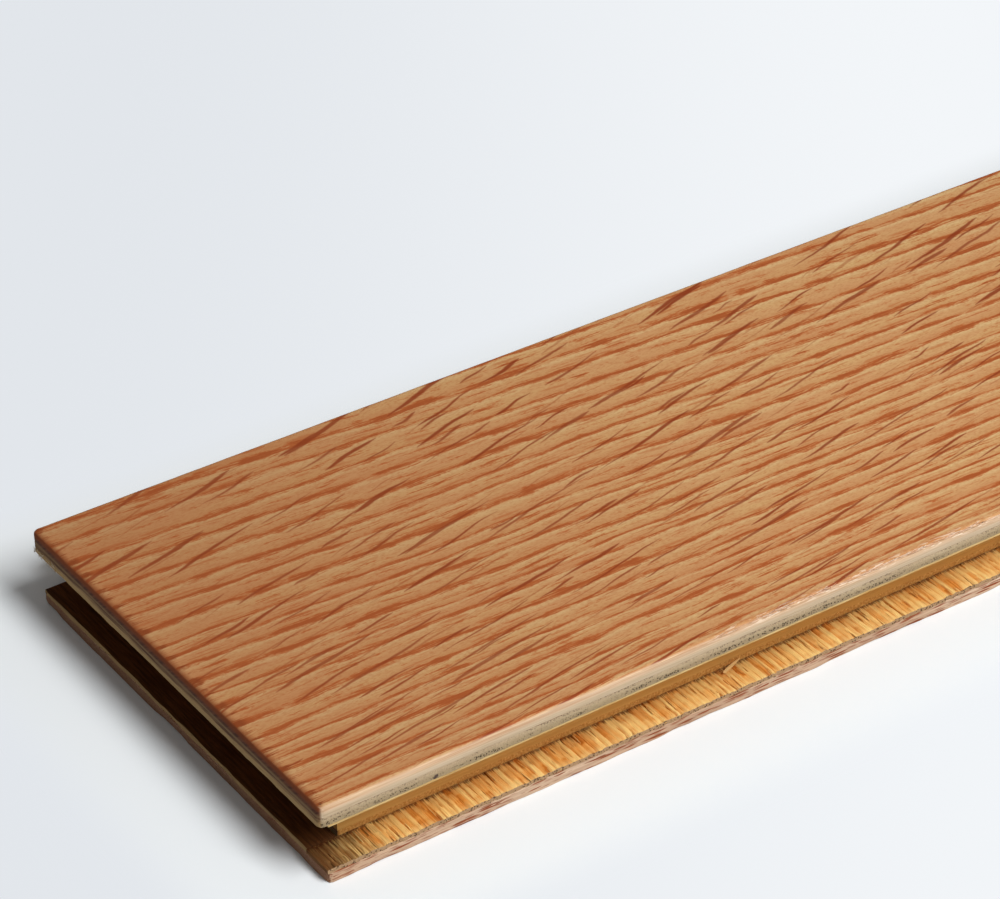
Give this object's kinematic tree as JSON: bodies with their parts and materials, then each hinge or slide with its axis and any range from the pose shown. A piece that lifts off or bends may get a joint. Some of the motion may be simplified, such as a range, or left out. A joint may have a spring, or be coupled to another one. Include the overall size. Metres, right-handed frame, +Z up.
{
  "type": "hardwood floorboard",
  "caption": "Short engineered hardwood floorboard of glued plies with an oak face, grooved on one long side and one end, tongued on the opposite side and end.",
  "frame": {"origin": "middle of the overall outline, tongues included, on the underside of the backing veneer", "axes": "+X along the board from the grooved end to the tongued end, +Y across it from the grooved side to the tongued side, +Z up out of the face"},
  "size_m": [0.6152, 0.0876, 0.0143],
  "materials": {
    "oak_face": "rift-sawn oak with a satin clear coat",
    "crossband_wood": "bare greyish cross-grain veneer with dark pores",
    "core_wood": "bare golden softwood, milled smooth",
    "backing_wood": "bare pale pinkish veneer with reddish dashes"
  },
  "bodies": {
    "root": {"wear_layer": "oak_face", "upper_crossband": "crossband_wood", "core_ply": "core_wood", "lower_crossband": "crossband_wood", "backing_veneer": "backing_wood"}
  },
  "joints": []
}
